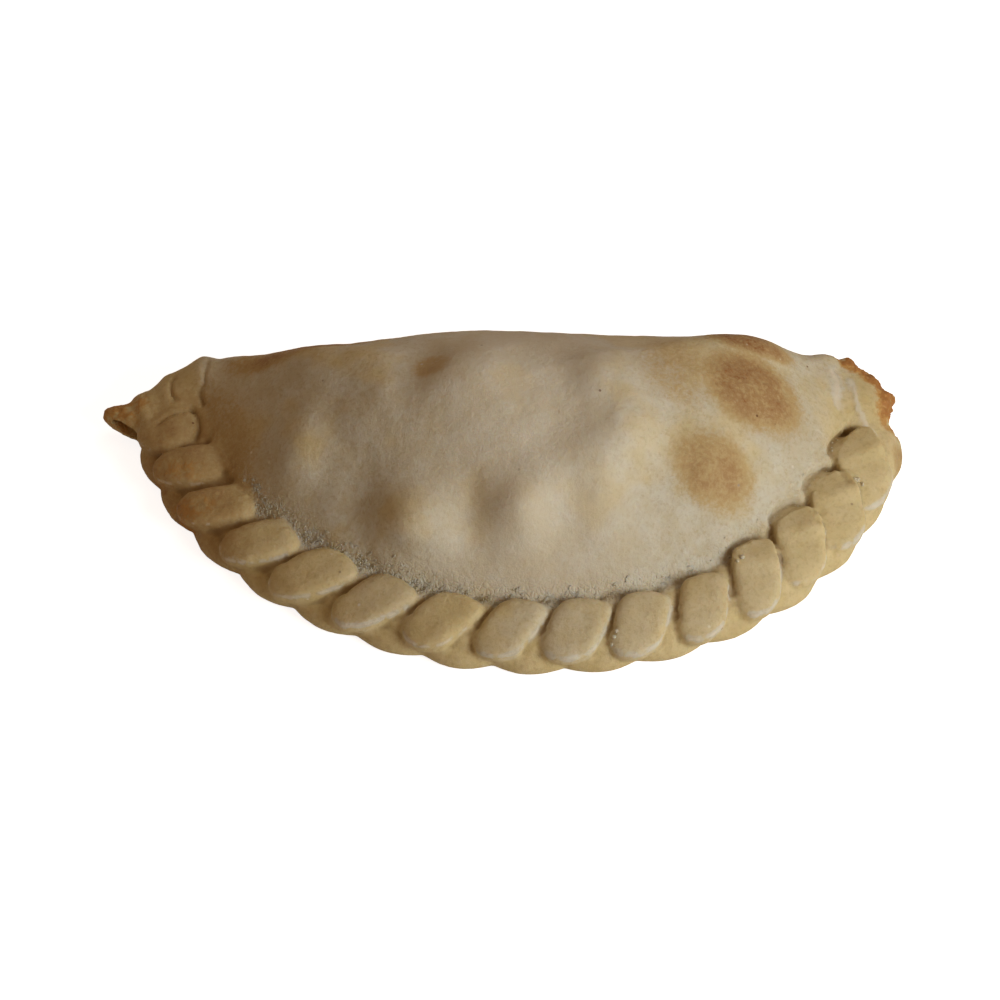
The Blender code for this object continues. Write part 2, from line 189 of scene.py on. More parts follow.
MOUND_FACETS = (320, 160)
FOLD_FACETS = (64, 32)
BLOB_FACETS = (32, 16)
RIM_FACETS = 480
EDGE_FACETS = 12
WELD_WITHIN = 0.0001
VOXEL = 0.43  # the crust's fineness: the photo shows relief down to about this
SMOOTHING_PASSES = 2
TRAY_CUT = (300.0, 300.0, 20.0)
SHARP_ANGLE = 50.0

# The seam: where the rolled edge pressed on the floured pocket, the skin tore into fine cracks.
SEAM_RADIUS = 55.4
SEAM_HALF_WIDTH = 2.1
SEAM_CRACK = 0.9  # from one crack to the next
SEAM_DEPTH = 0.11
SEAM_DRIFT = 1.1  # how much farther out it lies beside the first folds
SEAM_RISE, SEAM_SINK = 3.0, 0.8  # the rise beside a crack and the sink in it, in those depths
# Degrees about the disc's centre between which the seam drifts out, starts, ends, and is less torn.
SEAM_DRIFTS = (240, 212)
SEAM_STARTS = (203, 216)
SEAM_ENDS = (345, 325)
SEAM_CALMS = (275, 300)
SEAM_CALM = 0.6  # how much less torn, as a share
# The skin's own relief: (from one wave to the next, height).
SKIN_WAVES = ((9.0, 0.22), (2.6, 0.06), (0.9, 0.03))
WAVE_FADE, WAVE_STEP = 0.9, 2.0  # how fast finer waves fade, and how much finer each is
OFF_TRAY = (0.2, 1.2)  # the heights between which relief sets in
# How far the skin faces up, or down, where relief, or the underside's browning, sets in.
FACING_UP, FACING_DOWN = (0.1, 0.5), (-0.4, -0.9)

# Where two doughs were pressed into one and no edge is left: x, y, radius.
PRESSED = ((55.0, -11.0, 6.5), (-57.0, -9.6, 6.2), (-54.0, -16.0, 4.0))
PRESSED_FADE = (1.3, 0.6)  # as shares of that radius
PRESSED_ABOVE = (0.5, 2.5)  # the heights between which it sets in
PRESSING_PASSES = 70
# Filling that lifts the skin, or lets it sink: x, y, height, half-widths along X and Y.
SMALL_LUMPS = (
    (-19.0, -46.6, 1.0, 4.2, 3.8),
    (-24.0, -43.6, 0.9, 5.5, 5.5),
    (-1.8, -46.8, 0.95, 3.8, 3.8),
    (-10.0, -46.5, -0.3, 2.8, 3.6),
    (-29.5, -41.5, 0.8, 5.0, 6.0),
    (11.0, -41.8, 1.3, 5.0, 6.5),
    (-25.1, -26.0, 0.5, 4.0, 5.0),
    (-35.9, -32.5, 0.25, 2.8, 6.0),
    (9.8, -24.5, 0.8, 3.6, 5.0),
    (17.0, -34.5, 0.5, 4.6, 4.6),
    (26.0, -22.0, 1.1, 6.5, 8.0),
    (35.0, -19.5, 0.6, 8.0, 7.0),
    (28.0, -36.5, 0.4, 5.0, 4.6),
    (35.5, -9.5, 0.9, 7.0, 3.5),
    (-16.2, -21.7, -0.5, 2.6, 3.0),
    (-50.0, -28.0, -0.4, 3.5, 6.0),
    (50.3, -3.0, 1.0, 2.8, 2.6),
)
# Lines that stand up from the skin, or go down into it: the points' x and y, height and half-width.
LINES = (
    (((-59.5, -5.9), (-60.0, -10.2), (-59.8, -13.6)), -0.55, 0.45),
    (((-64.7, -8.2), (-64.4, -12.0), (-62.8, -15.2)), -0.15, 0.4),
    (((-54.4, -4.0), (-54.6, -9.0), (-54.4, -14.5)), -0.5, 0.5),
    (((-62.6, -17.0), (-59.3, -15.2), (-55.2, -14.4)), -0.45, 0.45),
    (((50.2, -5.9), (51.6, -11.3), (51.4, -16.3)), 0.16, 1.1),
    (((53.4, -7.6), (54.7, -13.2), (57.0, -18.4)), 0.2, 1.0),
    (((55.4, -18.2), (57.2, -17.4), (58.9, -18.6)), 0.2, 0.6),
)
LINE_SHAKE = (2.5, 0.7)  # from one bend to the next, and how far
# The crevice round each fold's near side, in degrees about the fold's own middle, where 180 is its
# inner end and 270 the side towards the fold before. On the later folds it starts further round,
# and on the first ones it is faint.
OUTLINE_STEPS = 24
CREVICE_START, CREVICE_END = 232.0, 283.0
CREVICE_ROUND = 70.0
CREVICE_ROUND_FOLDS, CREVICE_FAINT_FOLDS = (7, 10), (0, 6)
CREVICE_FAINTEST = 0.1
CREVICE_LEVEL = -0.2
CREVICE_HALF_WIDTH = 0.45
CREVICE_DEPTH = 0.35
CREVICE_SHAKE = (1.8, 0.25)  # from one bend to the next, and how far
PIT_TURN = 276.0
PIT_SHARE = 1.1
PIT_HALF_WIDTH = 0.75
LINE_FADE = 1.5  # over this length at each end
FOLD_RISE = 0.2  # how far the folds stand up from where they were pressed on
FOLD_SIDES = (3.0, 5.0)  # the heights between which a fold's own skin begins
FOLD_EDGE_PASSES = 2
# Folds whose inner ends were pressed into the pocket: (fold, how deep the pocket gave way).
SEATS = ((1, 0.7), (12, 0.4), (13, 0.9), (14, 1.0), (15, 0.9))
SEAT_START, SEAT_END = 145.0, 240.0
SEAT_BEYOND = 0.35
SEAT_HALF_WIDTH = 0.55
SEAT_TOP = 9.1  # no fold is higher than this
FIRST_LEVEL_FOLD = 12  # from here on, the folds' inner ends are level at that height
SHOULDER_LEVEL = 0.35
SHOULDER_FROM = (0.0, 0.35)  # as shares of the way from the fold's middle to its inner end
# The folds' far edges, on their lit side, which are painted pale: partly rubbed flour and partly a
# painted highlight.
WORN_LIT_START, WORN_LIT_END = -52.0, 118.0
WORN_LIT_LEVEL = 0.35
WORN_LIT_HALF_WIDTH = 0.55
WORN_LIT_HEIGHT = 0.06
WORN_LIT_PATCH, WORN_LIT_GAPS = 1.6, (-0.45, 0.1)  # from one rubbed patch to the next, and between them

# Flakes of dry dough that stand up in the seam, and crumbs that lie there.
FLAKES = 240
# Degrees about the disc's centre: where they lie, and where they become fewer, by this share.
FLAKES_FROM, FLAKES_TO, CRUMBS_TO = 213.0, 300.0, 342.0
FEWER_FROM, FEWER_TO = 268.0, 296.0
FEWER = 0.8
FLAKE_PLACES = (-2.0, 1.8, 0.0)  # farthest in and out, and most often, from the seam's middle
SPARE_PLACES = 5  # places drawn for each one wanted
FLAKE_LENGTH = (0.4, 1.3)
FLAKE_WIDTH = (0.2, 0.5)
FLAKE_LIFT = (0.02, 0.11)
FLAKE_BEND = 80  # degrees, at most
FLAKE_ASKEW = 30  # degrees from the seam's own direction
FLAKE_FLOUR = 0.6
FLAKE_THICKNESS = 0.07
FLAKE_ROOT = 0.1  # how deep a flake's own edge stays in the skin
FLAKE_STEPS = 7
CRUMBS = 260
CRUMB_RADIUS = (0.08, 0.22)
CRUMB_ROUGHNESS = (0.7, 1.2)
ABOVE_ALL = 50.0
# Nubs of torn dough on the folds: x, y and radius.
NUBS = (
    (13.2, -62.0, 0.42),
    (13.6, -61.2, 0.34),
    (12.9, -62.8, 0.36),
    (34.0, -47.6, 0.46),
    (33.3, -48.3, 0.36),
    (53.9, -29.2, 0.5),
    (54.7, -29.8, 0.4),
    (53.3, -29.9, 0.36),
)

# Places that browned in the oven, with painted shade on the left end: x, y, half-widths along X
# and Y, and how far they went.
BROWNED_AND_SHADED = (
    (36.2, -20.3, 9.0, 7.8, 0.85),
    (29.5, -36.0, 7.3, 6.0, 0.62),
    (-16.0, -22.0, 3.4, 3.2, 0.5),
    (-37.0, -8.2, 14.0, 4.6, 0.75),
    (36.5, -10.0, 7.6, 3.2, 1.0),
    # Partly browning, partly painted shade over the left end, which lies in shade.
    (-57.0, -31.0, 14.0, 24.0, 0.5),
    (24.0, -20.0, 8.0, 8.5, 0.3),
    # Painted shade, not browning, on the neck of the left end, which the mound shades.
    (-57.0, -12.5, 2.6, 2.6, 0.45),
    (62.5, -21.0, 2.2, 4.0, 0.5),
    (-59.6, -27.2, 3.0, 2.2, 0.6),
    (-56.8, -34.0, 3.4, 2.4, 0.8),
)
BROWNED_AND_SHADED_FADE = (1.25, 0.45)  # as shares of those half-widths
UNDERSIDE_BROWNED = 0.5
# Thin edges that the oven singed: the points' x and y, half-width, and how far they went.
SINGED_LINES = (
    (((53.0, -3.2), (56.6, -5.0), (59.2, -7.6), (60.8, -10.2), (60.4, -14.0)), 1.9, 1.35),
    (((-74.0, -10.0), (-70.0, -11.0), (-66.5, -11.8)), 3.0, 0.6),
    (((-60.5, -25.5), (-57.0, -26.6), (-54.5, -27.2)), 1.8, 0.45),
    (((-58.0, -33.0), (-55.5, -34.4), (-53.5, -34.8)), 2.0, 0.6),
)
SINGED_CRACK = (0.0, 0.16)
SINGED_LEAST, SINGED_MORE = 0.5, 0.6  # in a crack, and what is added beside it
# How far they crumbled, from one crumb to the next, and how much the cracks add to it.
SINGED_CRUMBLE, SINGED_CRUMB, SINGED_CRAGS = 0.3, 1.2, 0.6
# Painted shade in hollows: the passes that even out what lies round them, the depths between which
# it sets in, and how much. The seam's get less painted shade, by this share, and the crevices more.
HOLLOW_SHADE = ((10, 0.03, 0.25, 0.5), (60, 0.15, 1.0, 0.7))
SEAM_PALER, CREVICE_DARKER = 0.7, 0.3
# The flour that the pocket kept, where the seam has 1: the least, what its middle has more, and
# that middle's x and half-width, out to these radii. The folds kept this share of it.
DUST_LEAST, DUST_MORE = 0.25, 0.6
DUST_MIDDLE, DUST_HALF_WIDTH = 0.0, 34.0
DUST_REACH = (58.0, 54.5)
DUST_ON_FOLDS = 0.28
TORN_FLOUR, TORN_FLOUR_MORE = 0.6, 0.9  # in the cracks, and what is added between them


def power(value, exponent):
    """value raised to exponent, with its sign kept."""
    return math.copysign(abs(value) ** exponent, value)


def on_disc(angle, radius, height=0.0):
    """The point at that angle and radius about the disc's centre."""
    turn = math.radians(angle)
    return Vector((radius * math.cos(turn), radius * math.sin(turn), height))


def interpolate(value, start, end):
    """0 at start and 1 at end, smooth between them and flat outside. Also takes arrays."""
    share = np.clip((value - start) / (end - start), 0.0, 1.0)
    return share * share * (3.0 - 2.0 * share)


def turned(degrees):
    return Euler([math.radians(angle) for angle in degrees]).to_matrix().to_4x4()


def put(name, data):
    """Puts an object with that data in the scene."""
    thing = bpy.data.objects.new(name, data)
    bpy.context.scene.collection.objects.link(thing)
    return thing


def mesh_of(thing):
    """The mesh that a curve makes, or an object with its modifiers."""
    bpy.context.view_layer.update()
    as_seen = thing.evaluated_get(bpy.context.evaluated_depsgraph_get())
    return bpy.data.meshes.new_from_object(as_seen)


def join(form, piece):
    """Adds a closed piece of dough to form."""
    mesh = bpy.data.meshes.new("dough")
    piece.to_mesh(mesh)
    piece.free()
    form.from_mesh(mesh)
    bpy.data.meshes.remove(mesh)


def shaped_sphere(facets, shape):
    """A sphere whose points are moved by shape, which takes a unit direction."""
    piece = bmesh.new()
    bmesh.ops.create_uvsphere(piece, u_segments=facets[0], v_segments=facets[1], radius=1.0)
    for vert in piece.verts:
        vert.co = shape(vert.co.copy())
    return piece


def add_blob(form, centre, size, turn=(0, 0, 0), squareness=0.85):
    """Adds a rounded lump of dough, of that size along its own axes."""
    placed = Matrix.Translation(centre) @ turned(turn)

    def shape(unit):
        local = [power(unit[i], squareness) * size[i] / 2 for i in range(3)]
        return placed @ Vector(local)

    join(form, shaped_sphere(BLOB_FACETS, shape))


# --- The crimp's rhythm ---


def fold_angle(number):
    """Degrees about the disc's centre of that fold's middle. Folds count from 1."""
    lag = (number - 1) / EARLY_LAG_AT
    return FIRST_FOLD + FOLD_STEP * (number - 1) - EARLY_LAG * lag * math.exp(1 - lag)


def fold_lean(number):
    return FOLD_LEAN + EARLY_LEAN * math.exp(-(number - 1) / EARLY_LEAN_FADE)


def fold_length(number):
    swell = LENGTH_SWELL * math.cos(2 * math.pi * (number - LONGEST_FOLD) / FOLDS_PER_SWELL)
    return FOLD_LENGTH * (1 + swell)


def fold_reach(number):
    """How much farther out the first seven folds lie, most of all the fourth and fifth."""
    return EARLY_REACH * interpolate(number, 0, 4) * interpolate(number, 8, 5)


def wander(angle):
    """How far the edge lies outside its own circle."""
    return RIM_WANDER * math.cos(3 * math.radians(angle - RIM_WANDER_PHASE))


def lobe(angle):
    """-1 in the notches of the edge and 1 on its scallops, which lie at the folds' outer ends."""
    numbers = range(1, FOLD_COUNT + 4)
    angles = [fold_angle(number) - FOLD_STEP / 2 for number in numbers]
    below = max(bisect.bisect_right(angles, angle) - 1, 0)
    share = (angle - angles[below]) / (angles[below + 1] - angles[below])
    return 2.0 * abs(math.cos(math.pi * share)) - 1.0


# --- Pieces of dough, in millimetres ---

ROUND_LINE = {
    "dimensions": "3D",
    "bevel_depth": 1.0,
    "bevel_resolution": EDGE_FACETS,
    "use_fill_caps": True,
}
FLAT_SHEET = {
    "dimensions": "2D",
    "fill_mode": "BOTH",
    "extrude": RIM_SHEET_HEIGHT / 2,
}


def add_curve(form, points, settings, placed=None, cyclic=False):
    """Adds the mesh of a curve through (position, radius) points, with its caps welded."""
    data = bpy.data.curves.new("dough_line", "CURVE")
    spline = data.splines.new("POLY")
    spline.points.add(len(points) - 1)
    for point, (position, radius) in zip(spline.points, points):
        point.co = (*position, 1.0)
        point.radius = radius
    spline.use_cyclic_u = cyclic
    for name, value in settings.items():
        setattr(data, name, value)
    curve = put("dough_line", data)
    mesh = mesh_of(curve)
    bpy.data.objects.remove(curve)
    if placed:
        mesh.transform(placed)
    piece = bmesh.new()
    piece.from_mesh(mesh)
    bmesh.ops.remove_doubles(piece, verts=piece.verts, dist=WELD_WITHIN)
    join(form, piece)


def rim_angles():
    return [RIM_START + (RIM_END - RIM_START) * i / RIM_FACETS for i in range(RIM_FACETS + 1)]


def add_rim(form):
    """The rounded outer edge, fuller at each scallop, and the sealed dough inside it."""
    half = RIM_BEAD_WIDTH / 2
    bead, sheet = [], []
    for angle in rim_angles():
        swell = LOBE_DEPTH * lobe(angle) / 4
        middle = RIM_RADIUS + wander(angle) - half
        bead.append((RIM_CENTRE + on_disc(angle, middle + swell), half + swell))
        sheet.append((RIM_CENTRE + on_disc(angle, middle), 1.0))
    flat = Matrix.Diagonal((1, 1, RIM_BEAD_HEIGHT / RIM_BEAD_WIDTH, 1))
    bead_place = Matrix.Translation((0, 0, RIM_BEAD_HEIGHT / 2 - SINK))
    sheet_place = Matrix.Translation((0, 0, RIM_SHEET_HEIGHT / 2 - SINK))
    add_curve(form, bead, ROUND_LINE, bead_place @ flat)
    add_curve(form, sheet, FLAT_SHEET, sheet_place, cyclic=True)


def mound_reach(angle):
    """Distance from under the peak to the mound's foot, in the direction of angle in radians."""
    across, along = math.cos(angle), math.sin(angle)
    toward = MOUND_PEAK.x * across + MOUND_PEAK.y * along
    inside = MOUND_RADIUS**2 - MOUND_PEAK.x**2 - MOUND_PEAK.y**2
    ways = [math.sqrt(toward**2 + inside) - toward]
    if along > 0:
        ways.append((FOLDED_BACK - MOUND_PEAK.y) / along)
    if across < 0:
        ways.append((MOUND_LEFT - MOUND_PEAK.x) / across)
    if across > 0:
        ways.append((MOUND_RIGHT - MOUND_PEAK.x) / across)
    return sum(way**-CORNER_TIGHTNESS for way in ways) ** (-1 / CORNER_TIGHTNESS)


def flank(across, along):
    """The (widest height, fall) of the mound in a direction of a unit square."""
    side = RIGHT_FLANK if across > 0 else LEFT_FLANK
    end = BACK_FLANK if along > 0 else FRONT_FLANK
    share = along * along
    return [side[i] + (end[i] - side[i]) * share for i in range(2)]


def add_mound(form):
    """The filled pocket: a pillow over the half-moon, steep at the fold and hollow at its foot."""
    half_length = (MOUND_RIGHT - MOUND_LEFT) / 2
    half_width = (FOLDED_BACK + MOUND_RADIUS) / 2

    def shape(unit):
        out = math.hypot(unit.x, unit.y)
        if out < 1e-6:
            across, along = 0.0, 1.0
        else:
            across, along = unit.x / out, unit.y / out
        angle = math.atan2(along * half_width, across * half_length)
        reach = mound_reach(angle) * out
        x = MOUND_PEAK.x + reach * math.cos(angle)
        y = MOUND_PEAK.y + reach * math.sin(angle)
        widest, fall = flank(across, along)
        if unit.z > 0:
            z = widest + (MOUND_PEAK.z - widest) * unit.z**fall
        else:
            z = widest - (widest + SINK) * abs(unit.z) ** MOUND_FOOT_SQUARENESS
        return Vector((x, y, z))

    pocket = shaped_sphere(MOUND_FACETS, shape)
    pocket.normal_update()
    push_out_lumps([vert for vert in pocket.verts if vert.normal.z > 0])
    join(form, pocket)


def push_out_lumps(upper):
    """Moves the upper surface along its normals, round the point over each lump's place."""
    places = np.array([vert.co for vert in upper])
    moves = np.zeros(len(upper))
    for x, y, push, long, wide, turn in LUMPS:
        nearest = np.argmin(np.hypot(places[:, 0] - x, places[:, 1] - y))
        away = (places - places[nearest]) @ np.array(turned((0, 0, turn)).to_3x3())
        moves += push * np.exp(-((away / (long, wide, wide)) ** 2).sum(axis=1))
    for vert, move in zip(upper, moves):
        vert.co += vert.normal * (move * interpolate(vert.normal.z, 0.0, LUMP_STEEPEST))


def fold_shape(number, draw):
    """One tongue of the crimp, as a function of a unit direction from its middle.

    Its own x runs outwards, and its y towards the next fold.
    """
    along_edge, outwards, longer, wider, leaning = PRESSES[number - 1]
    angle = fold_angle(number) + along_edge
    lean = fold_lean(number) + leaning
    length = fold_length(number) * longer * (1 + draw.uniform(-UNEVENNESS, UNEVENNESS))
    width = FOLD_WIDTH * wider * (1 + draw.uniform(-UNEVENNESS, UNEVENNESS))
    taper = FOLD_TAPER * (1 - TAPER_LOSS * interpolate(number, 5, 8))
    middle = on_disc(angle, FOLD_RADIUS + wander(angle), FOLD_MIDDLE_HEIGHT)
    middle += on_disc(angle + lean, fold_reach(number) + outwards)
    placed = Matrix.Translation(middle) @ turned((-FOLD_ROLL, FOLD_DIP, angle + lean))
    skew = math.tan(math.radians(lean)) * INNER_END_SKEW

    def shape(unit):
        outer = interpolate(unit.x, 0.0, 0.8)
        x = power(unit.x, FOLD_ROUNDNESS + outer * OUTER_END_ROUNDER / 2) * length / 2
        y = power(unit.y, FOLD_ROUNDNESS + outer * OUTER_END_ROUNDER) * width / 2
        if y > 0:
            y *= 1.0 - taper * interpolate(x, -length / 6, length / 2)
        z = power(unit.z, FOLD_CROWN) * FOLD_THICKNESS / 2
        z *= 1.0 - OUTER_THINNER * interpolate(x, -length / 6, length / 2)
        inner = interpolate(-x, -length / 4, length / 4)
        x += inner * (y * skew + INNER_CORNER * interpolate(y, 0.0, width / 2))
        x -= y * OUTER_END_SKEW * interpolate(x, 0.0, length / 2)
        z -= FOLD_DROOP * max(x, 0.0) ** 2
        return placed @ Vector((x, y, z))

    return shape


def outline(fold, start, end, height=0.0, beyond=0.0):
    """Points along a fold's edge, between those angles about its middle, or that far beyond it."""
    points = []
    middle = fold(Vector((0, 0, 1)))
    for i in range(OUTLINE_STEPS + 1):
        turn = math.radians(start + (end - start) * i / OUTLINE_STEPS)
        point = fold(Vector((math.cos(turn), math.sin(turn), height)).normalized())
        away = Vector((point.x - middle.x, point.y - middle.y, 0.0))
        points.append(point + away.normalized() * beyond)
    return points


def add_web(form, number):
    """The dough drawn up between that fold and the next one, at their inner ends."""
    nudges = [press[0] for press in PRESSES[number - 1 : number + 1]]
    angle = (fold_angle(number) + fold_angle(number + 1) + sum(nudges)) / 2
    lean = fold_lean(number) + PRESSES[number - 1][-1]
    centre = on_disc(angle, WEB_RADIUS + wander(angle), WEB_MIDDLE_HEIGHT)
    add_blob(form, centre, WEB_SIZE, (0, WEB_DIP, angle + lean))


def add_tip(form):
    """The rolled end of the dough, from its tip to the pocket."""
    add_curve(form, TIP_LINE, ROUND_LINE)
    add_curve(form, FLAP_LINE, ROUND_LINE)


def add_ragged_ridge(form, draw):
    """Torn and browned dough: a row of crumbs along the outer edge of the right end."""
    start, corner, end = RIDGE
    for i in range(RIDGE_CRUMBS):
        share = 2 * i / (RIDGE_CRUMBS - 1)
        middle = start.lerp(corner, share) if share < 1 else corner.lerp(end, share - 1)
        scatter = [draw.uniform(-CRUMB_SCATTER, CRUMB_SCATTER) for _ in range(3)]
        size = [RIDGE_CRUMB_SIZE * draw.uniform(*CRUMB_SPREAD) for _ in range(3)]
        turn = [draw.uniform(0, 180) for _ in range(3)]
        add_blob(form, middle + Vector(scatter), size, turn)


# --- The crust ---


def object_from(form, name):
    bmesh.ops.recalc_face_normals(form, faces=form.faces)
    mesh = bpy.data.meshes.new(name)
    form.to_mesh(mesh)
    form.free()
    return put(name, mesh)


def cutter(fill):
    """An object to cut with. It is hidden, and removed once the cut is made."""
    form = bmesh.new()
    fill(form)
    made = object_from(form, "cutter")
    made.hide_render = True
    return made


def fill_mouth(form):
    add_blob(form, *MOUTH)


def fill_tray(form):
    bmesh.ops.create_cube(form, size=1.0)
    bmesh.ops.scale(form, vec=TRAY_CUT, verts=form.verts)
    bmesh.ops.translate(form, vec=(0, 0, -TRAY_CUT[2] / 2), verts=form.verts)


def fused_dough(folds, draw):
    """All the dough as one closed skin with a flat underside, in millimetres."""
    form = bmesh.new()
    add_mound(form)
    add_rim(form)
    for number, fold in enumerate(folds, start=1):
        join(form, shaped_sphere(FOLD_FACETS, fold))
        add_web(form, number)
    for flap in LEFT_FLAPS:
        add_blob(form, *flap)
    for lump in (*RIGHT_LUMPS, FLAP_FOOT):
        add_blob(form, *lump)
    add_tip(form)
    add_ragged_ridge(form, draw)
    made = object_from(form, "crust")

    remesh = made.modifiers.new("remesh", "REMESH")
    remesh.mode = "VOXEL"
    remesh.voxel_size = VOXEL
    smooth = made.modifiers.new("smooth", "SMOOTH")
    smooth.iterations = SMOOTHING_PASSES
    cutters = [cutter(fill_mouth), cutter(fill_tray)]
    for tool in cutters:
        cut = made.modifiers.new("cut", "BOOLEAN")
        cut.operation = "DIFFERENCE"
        cut.solver = "MANIFOLD"
        cut.object = tool
    mesh = mesh_of(made)
    made.modifiers.clear()
    mesh.materials.clear()
    made.data = mesh
    for tool in cutters:
        bpy.data.objects.remove(tool)
    return made


def read_points(mesh):
    points = np.empty(len(mesh.vertices) * 3, np.float32)
    normals = np.empty(len(mesh.vertices) * 3, np.float32)
    mesh.vertices.foreach_get("co", points)
    mesh.vertex_normals.foreach_get("vector", normals)
    return points.reshape(-1, 3).astype(float), normals.reshape(-1, 3).astype(float)


def note(mesh, name, values):
    """Notes a value on each point, for the finish to follow."""
    noted = mesh.attributes.new(name, "FLOAT", "POINT")
    noted.data.foreach_set("value", values.astype(np.float32))


def neighbour_means(mesh, points):
    """The middle of each point's neighbours, or the mean of any values that points carry."""
    ends = np.empty(len(mesh.edges) * 2, np.int32)
    mesh.edges.foreach_get("vertices", ends)
    first, second = ends.reshape(-1, 2).T
    count = len(points)
    degree = np.bincount(first, minlength=count) + np.bincount(second, minlength=count)
    total = [
        np.bincount(first, points[second, i], count) + np.bincount(second, points[first, i], count)
        for i in range(points.shape[1])
    ]
    return np.stack(total, axis=1) / degree[:, None]


def hollowness(mesh, points, normals, passes):
    """How far each point lies below its evened-out surroundings, in millimetres."""
    even = points
    for _ in range(passes):
        even = neighbour_means(mesh, even)
    return ((even - points) * normals).sum(axis=1)


def press(mesh):
    """Smooths away the edges between doughs that were pressed into one."""
    points, _ = read_points(mesh)
    weight = np.zeros(len(points))
    for x, y, radius in PRESSED:
        away = np.hypot(points[:, 0] - x, points[:, 1] - y) / radius
        weight = np.maximum(weight, interpolate(away, *PRESSED_FADE))
    weight = (weight * interpolate(points[:, 2], *PRESSED_ABOVE))[:, None]
    for _ in range(PRESSING_PASSES):
        points += weight * (neighbour_means(mesh, points) - points)
    mesh.vertices.foreach_set("co", points.astype(np.float32).ravel())
    mesh.update()


def line_share(points, line, half_width):
    """1 on a line through those places, fading to 0 beside it, in two dimensions or three."""
    line = [np.array(place)[: points.shape[1]] for place in line]
    nearest = np.full(len(points), np.inf)
    for start, end in zip(line[:-1], line[1:]):
        along = end - start
        share = np.clip((points - start) @ along / (along @ along), 0.0, 1.0)
        away = points - start - share[:, None] * along
        nearest = np.minimum(nearest, np.linalg.norm(away, axis=1))
    first, last = line[0], line[-1]
    ends = [np.linalg.norm(points - end, axis=1) for end in (first, last)]
    fade = interpolate(np.minimum(*ends), 0.0, LINE_FADE)
    return np.exp(-((nearest / half_width) ** 2)) * fade


def crevices(points, folds):
    """1 in the crevice along each fold's near side and in the pit that ends it, and 0 elsewhere."""
    share = np.zeros(len(points))
    for number, fold in enumerate(folds, start=1):
        start = CREVICE_START - CREVICE_ROUND * interpolate(number, *CREVICE_ROUND_FOLDS)
        full = interpolate(number, *CREVICE_FAINT_FOLDS)
        strength = CREVICE_FAINTEST + (1.0 - CREVICE_FAINTEST) * full
        line = outline(fold, start, CREVICE_END, CREVICE_LEVEL)
        along = line_share(points[:, :2], line, CREVICE_HALF_WIDTH)
        pit = outline(fold, PIT_TURN, PIT_TURN + 1, CREVICE_LEVEL)[0]
        away = apart(points, pit.x, pit.y, PIT_HALF_WIDTH, PIT_HALF_WIDTH)
        pitted = PIT_SHARE * np.exp(-away)
        share = np.maximum(share, np.maximum(along, pitted) * strength)
    return share


def seats(points, folds):
    """How deep the pocket gave way round the inner ends of the folds in SEATS, in millimetres."""
    depths = []
    for number, deep in SEATS:
        line = outline(folds[number - 1], SEAT_START, SEAT_END, beyond=SEAT_BEYOND)
        depths.append(deep * line_share(points[:, :2], line, SEAT_HALF_WIDTH))
    return np.max(depths, axis=0)


def within(points, loop):
    """Which points lie inside a loop of places, seen from above."""
    inside = np.zeros(len(points), bool)
    for start, end in zip(loop[:-1], loop[1:]):
        rise = (end.y - start.y) or 1.0
        crossing = start.x + (points[:, 1] - start.y) * (end.x - start.x) / rise
        between = (start.y > points[:, 1]) != (end.y > points[:, 1])
        inside ^= between & (points[:, 0] < crossing)
    return inside


def shoulders(points, folds):
    """1 over the last folds' inner ends, which are level up to their edge, and 0 elsewhere."""
    share = np.zeros(len(points))
    for number in range(FIRST_LEVEL_FOLD, FOLD_COUNT + 1):
        fold = folds[number - 1]
        middle, end = fold(Vector((0, 0, 1))), fold(Vector((-1, 0, 0)))
        along = (end - middle).xy
        inwards = (points[:, :2] - np.array(middle.xy)) @ np.array(along) / along.length_squared
        inside = within(points, outline(fold, 0, 360, SHOULDER_LEVEL))
        share = np.maximum(share, inside * interpolate(inwards, *SHOULDER_FROM))
    return share


def on_folds(points, folds):
    """Which points lie on a fold."""
    return np.any([within(points, outline(fold, 0, 360)) for fold in folds], axis=0)


def worn_and_lit_edges(points, folds):
    """1 on the folds' far edges on their lit side, painted pale as rubbed flour and as a painted
    highlight, and 0 elsewhere.
    """
    lines = [outline(fold, WORN_LIT_START, WORN_LIT_END, WORN_LIT_LEVEL) for fold in folds]
    return np.max([line_share(points, line, WORN_LIT_HALF_WIDTH) for line in lines], axis=0)


def waves(points, spacing, octaves=3):
    """Smooth noise about 0, with that distance from wave to wave."""
    places = [Vector(point) / spacing for point in points]
    return np.array([noise.fractal(at, WAVE_FADE, WAVE_STEP, octaves) for at in places])


def cracks(points, spacing):
    """0 on thin crooked lines that distance apart, rising between them."""
    return np.array([abs(noise.noise(Vector(point) / spacing)) for point in points])


def polar(points):
    """Each point's degrees and radius about the disc's centre."""
    angle = np.degrees(np.arctan2(points[:, 1], points[:, 0])) % 360
    return angle, np.hypot(points[:, 0], points[:, 1])


def apart(points, x, y, long, wide):
    """The square of each point's distance from that place, in the half-widths long and wide."""
    return ((points[:, 0] - x) / long) ** 2 + ((points[:, 1] - y) / wide) ** 2


def seam_radius(angle):
    return SEAM_RADIUS + SEAM_DRIFT * interpolate(angle, *SEAM_DRIFTS)


def seam_weight(points):
    """1 in the torn floury band beside the crimp, and 0 away from it."""
    angle, radius = polar(points)
    band = np.exp(-(((radius - seam_radius(angle)) / SEAM_HALF_WIDTH) ** 2))
    return band * (interpolate(angle, *SEAM_STARTS) * interpolate(angle, *SEAM_ENDS))


